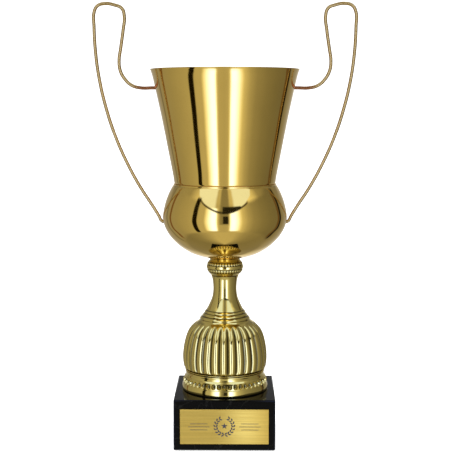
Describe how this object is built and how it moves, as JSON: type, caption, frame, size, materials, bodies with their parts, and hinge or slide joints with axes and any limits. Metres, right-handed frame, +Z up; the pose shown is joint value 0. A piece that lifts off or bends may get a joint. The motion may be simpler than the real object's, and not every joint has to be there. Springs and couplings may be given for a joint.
{
  "type": "cup trophy",
  "caption": "Tall two-handled presentation cup: a flared cone on a round bowl, looped wire handles, a ribbed bell stem and a square black plinth with a blank nameplate.",
  "frame": {"origin": "on the cup's vertical axis, level with the underside of the felt pads", "axes": "+Z up along the cup's axis; the handles lie along X; the nameplate faces -Y"},
  "size_m": [0.2624, 0.1484, 0.4387],
  "materials": {
    "polished_gold": "mirror-polished gold plating",
    "gold_wire": "bright gold-plated wire",
    "brushed_gold_plate": "satin, brushed along its length",
    "black_stone": "polished black marble",
    "zinc_steel": "zinc-plated steel",
    "felt": "dense black felt",
    "foam_tape": "matt white foam tape"
  },
  "bodies": {
    "root": {"felt_pad_1": "felt", "felt_pad_2": "felt", "felt_pad_3": "felt", "felt_pad_4": "felt", "stone_plinth": "black_stone", "nameplate_adhesive": "foam_tape", "nameplate": "brushed_gold_plate", "foot_ring": "polished_gold", "gadrooned_riser": "polished_gold", "beaded_collar": "polished_gold", "cup_bowl": "polished_gold", "cup_cone": "polished_gold", "handle_left": "gold_wire", "handle_right": "gold_wire", "tie_rod": "zinc_steel", "rod_nut_top": "zinc_steel", "rod_nut_bottom": "zinc_steel", "rod_washer_top": "zinc_steel", "rod_washer_bottom": "zinc_steel", "handle_nut_upper_left": "zinc_steel", "handle_nut_upper_right": "zinc_steel", "handle_nut_lower_left": "zinc_steel", "handle_nut_lower_right": "zinc_steel", "handle_washer_upper_left": "zinc_steel", "handle_washer_upper_right": "zinc_steel", "handle_washer_lower_left": "zinc_steel", "handle_washer_lower_right": "zinc_steel"}
  },
  "joints": []
}
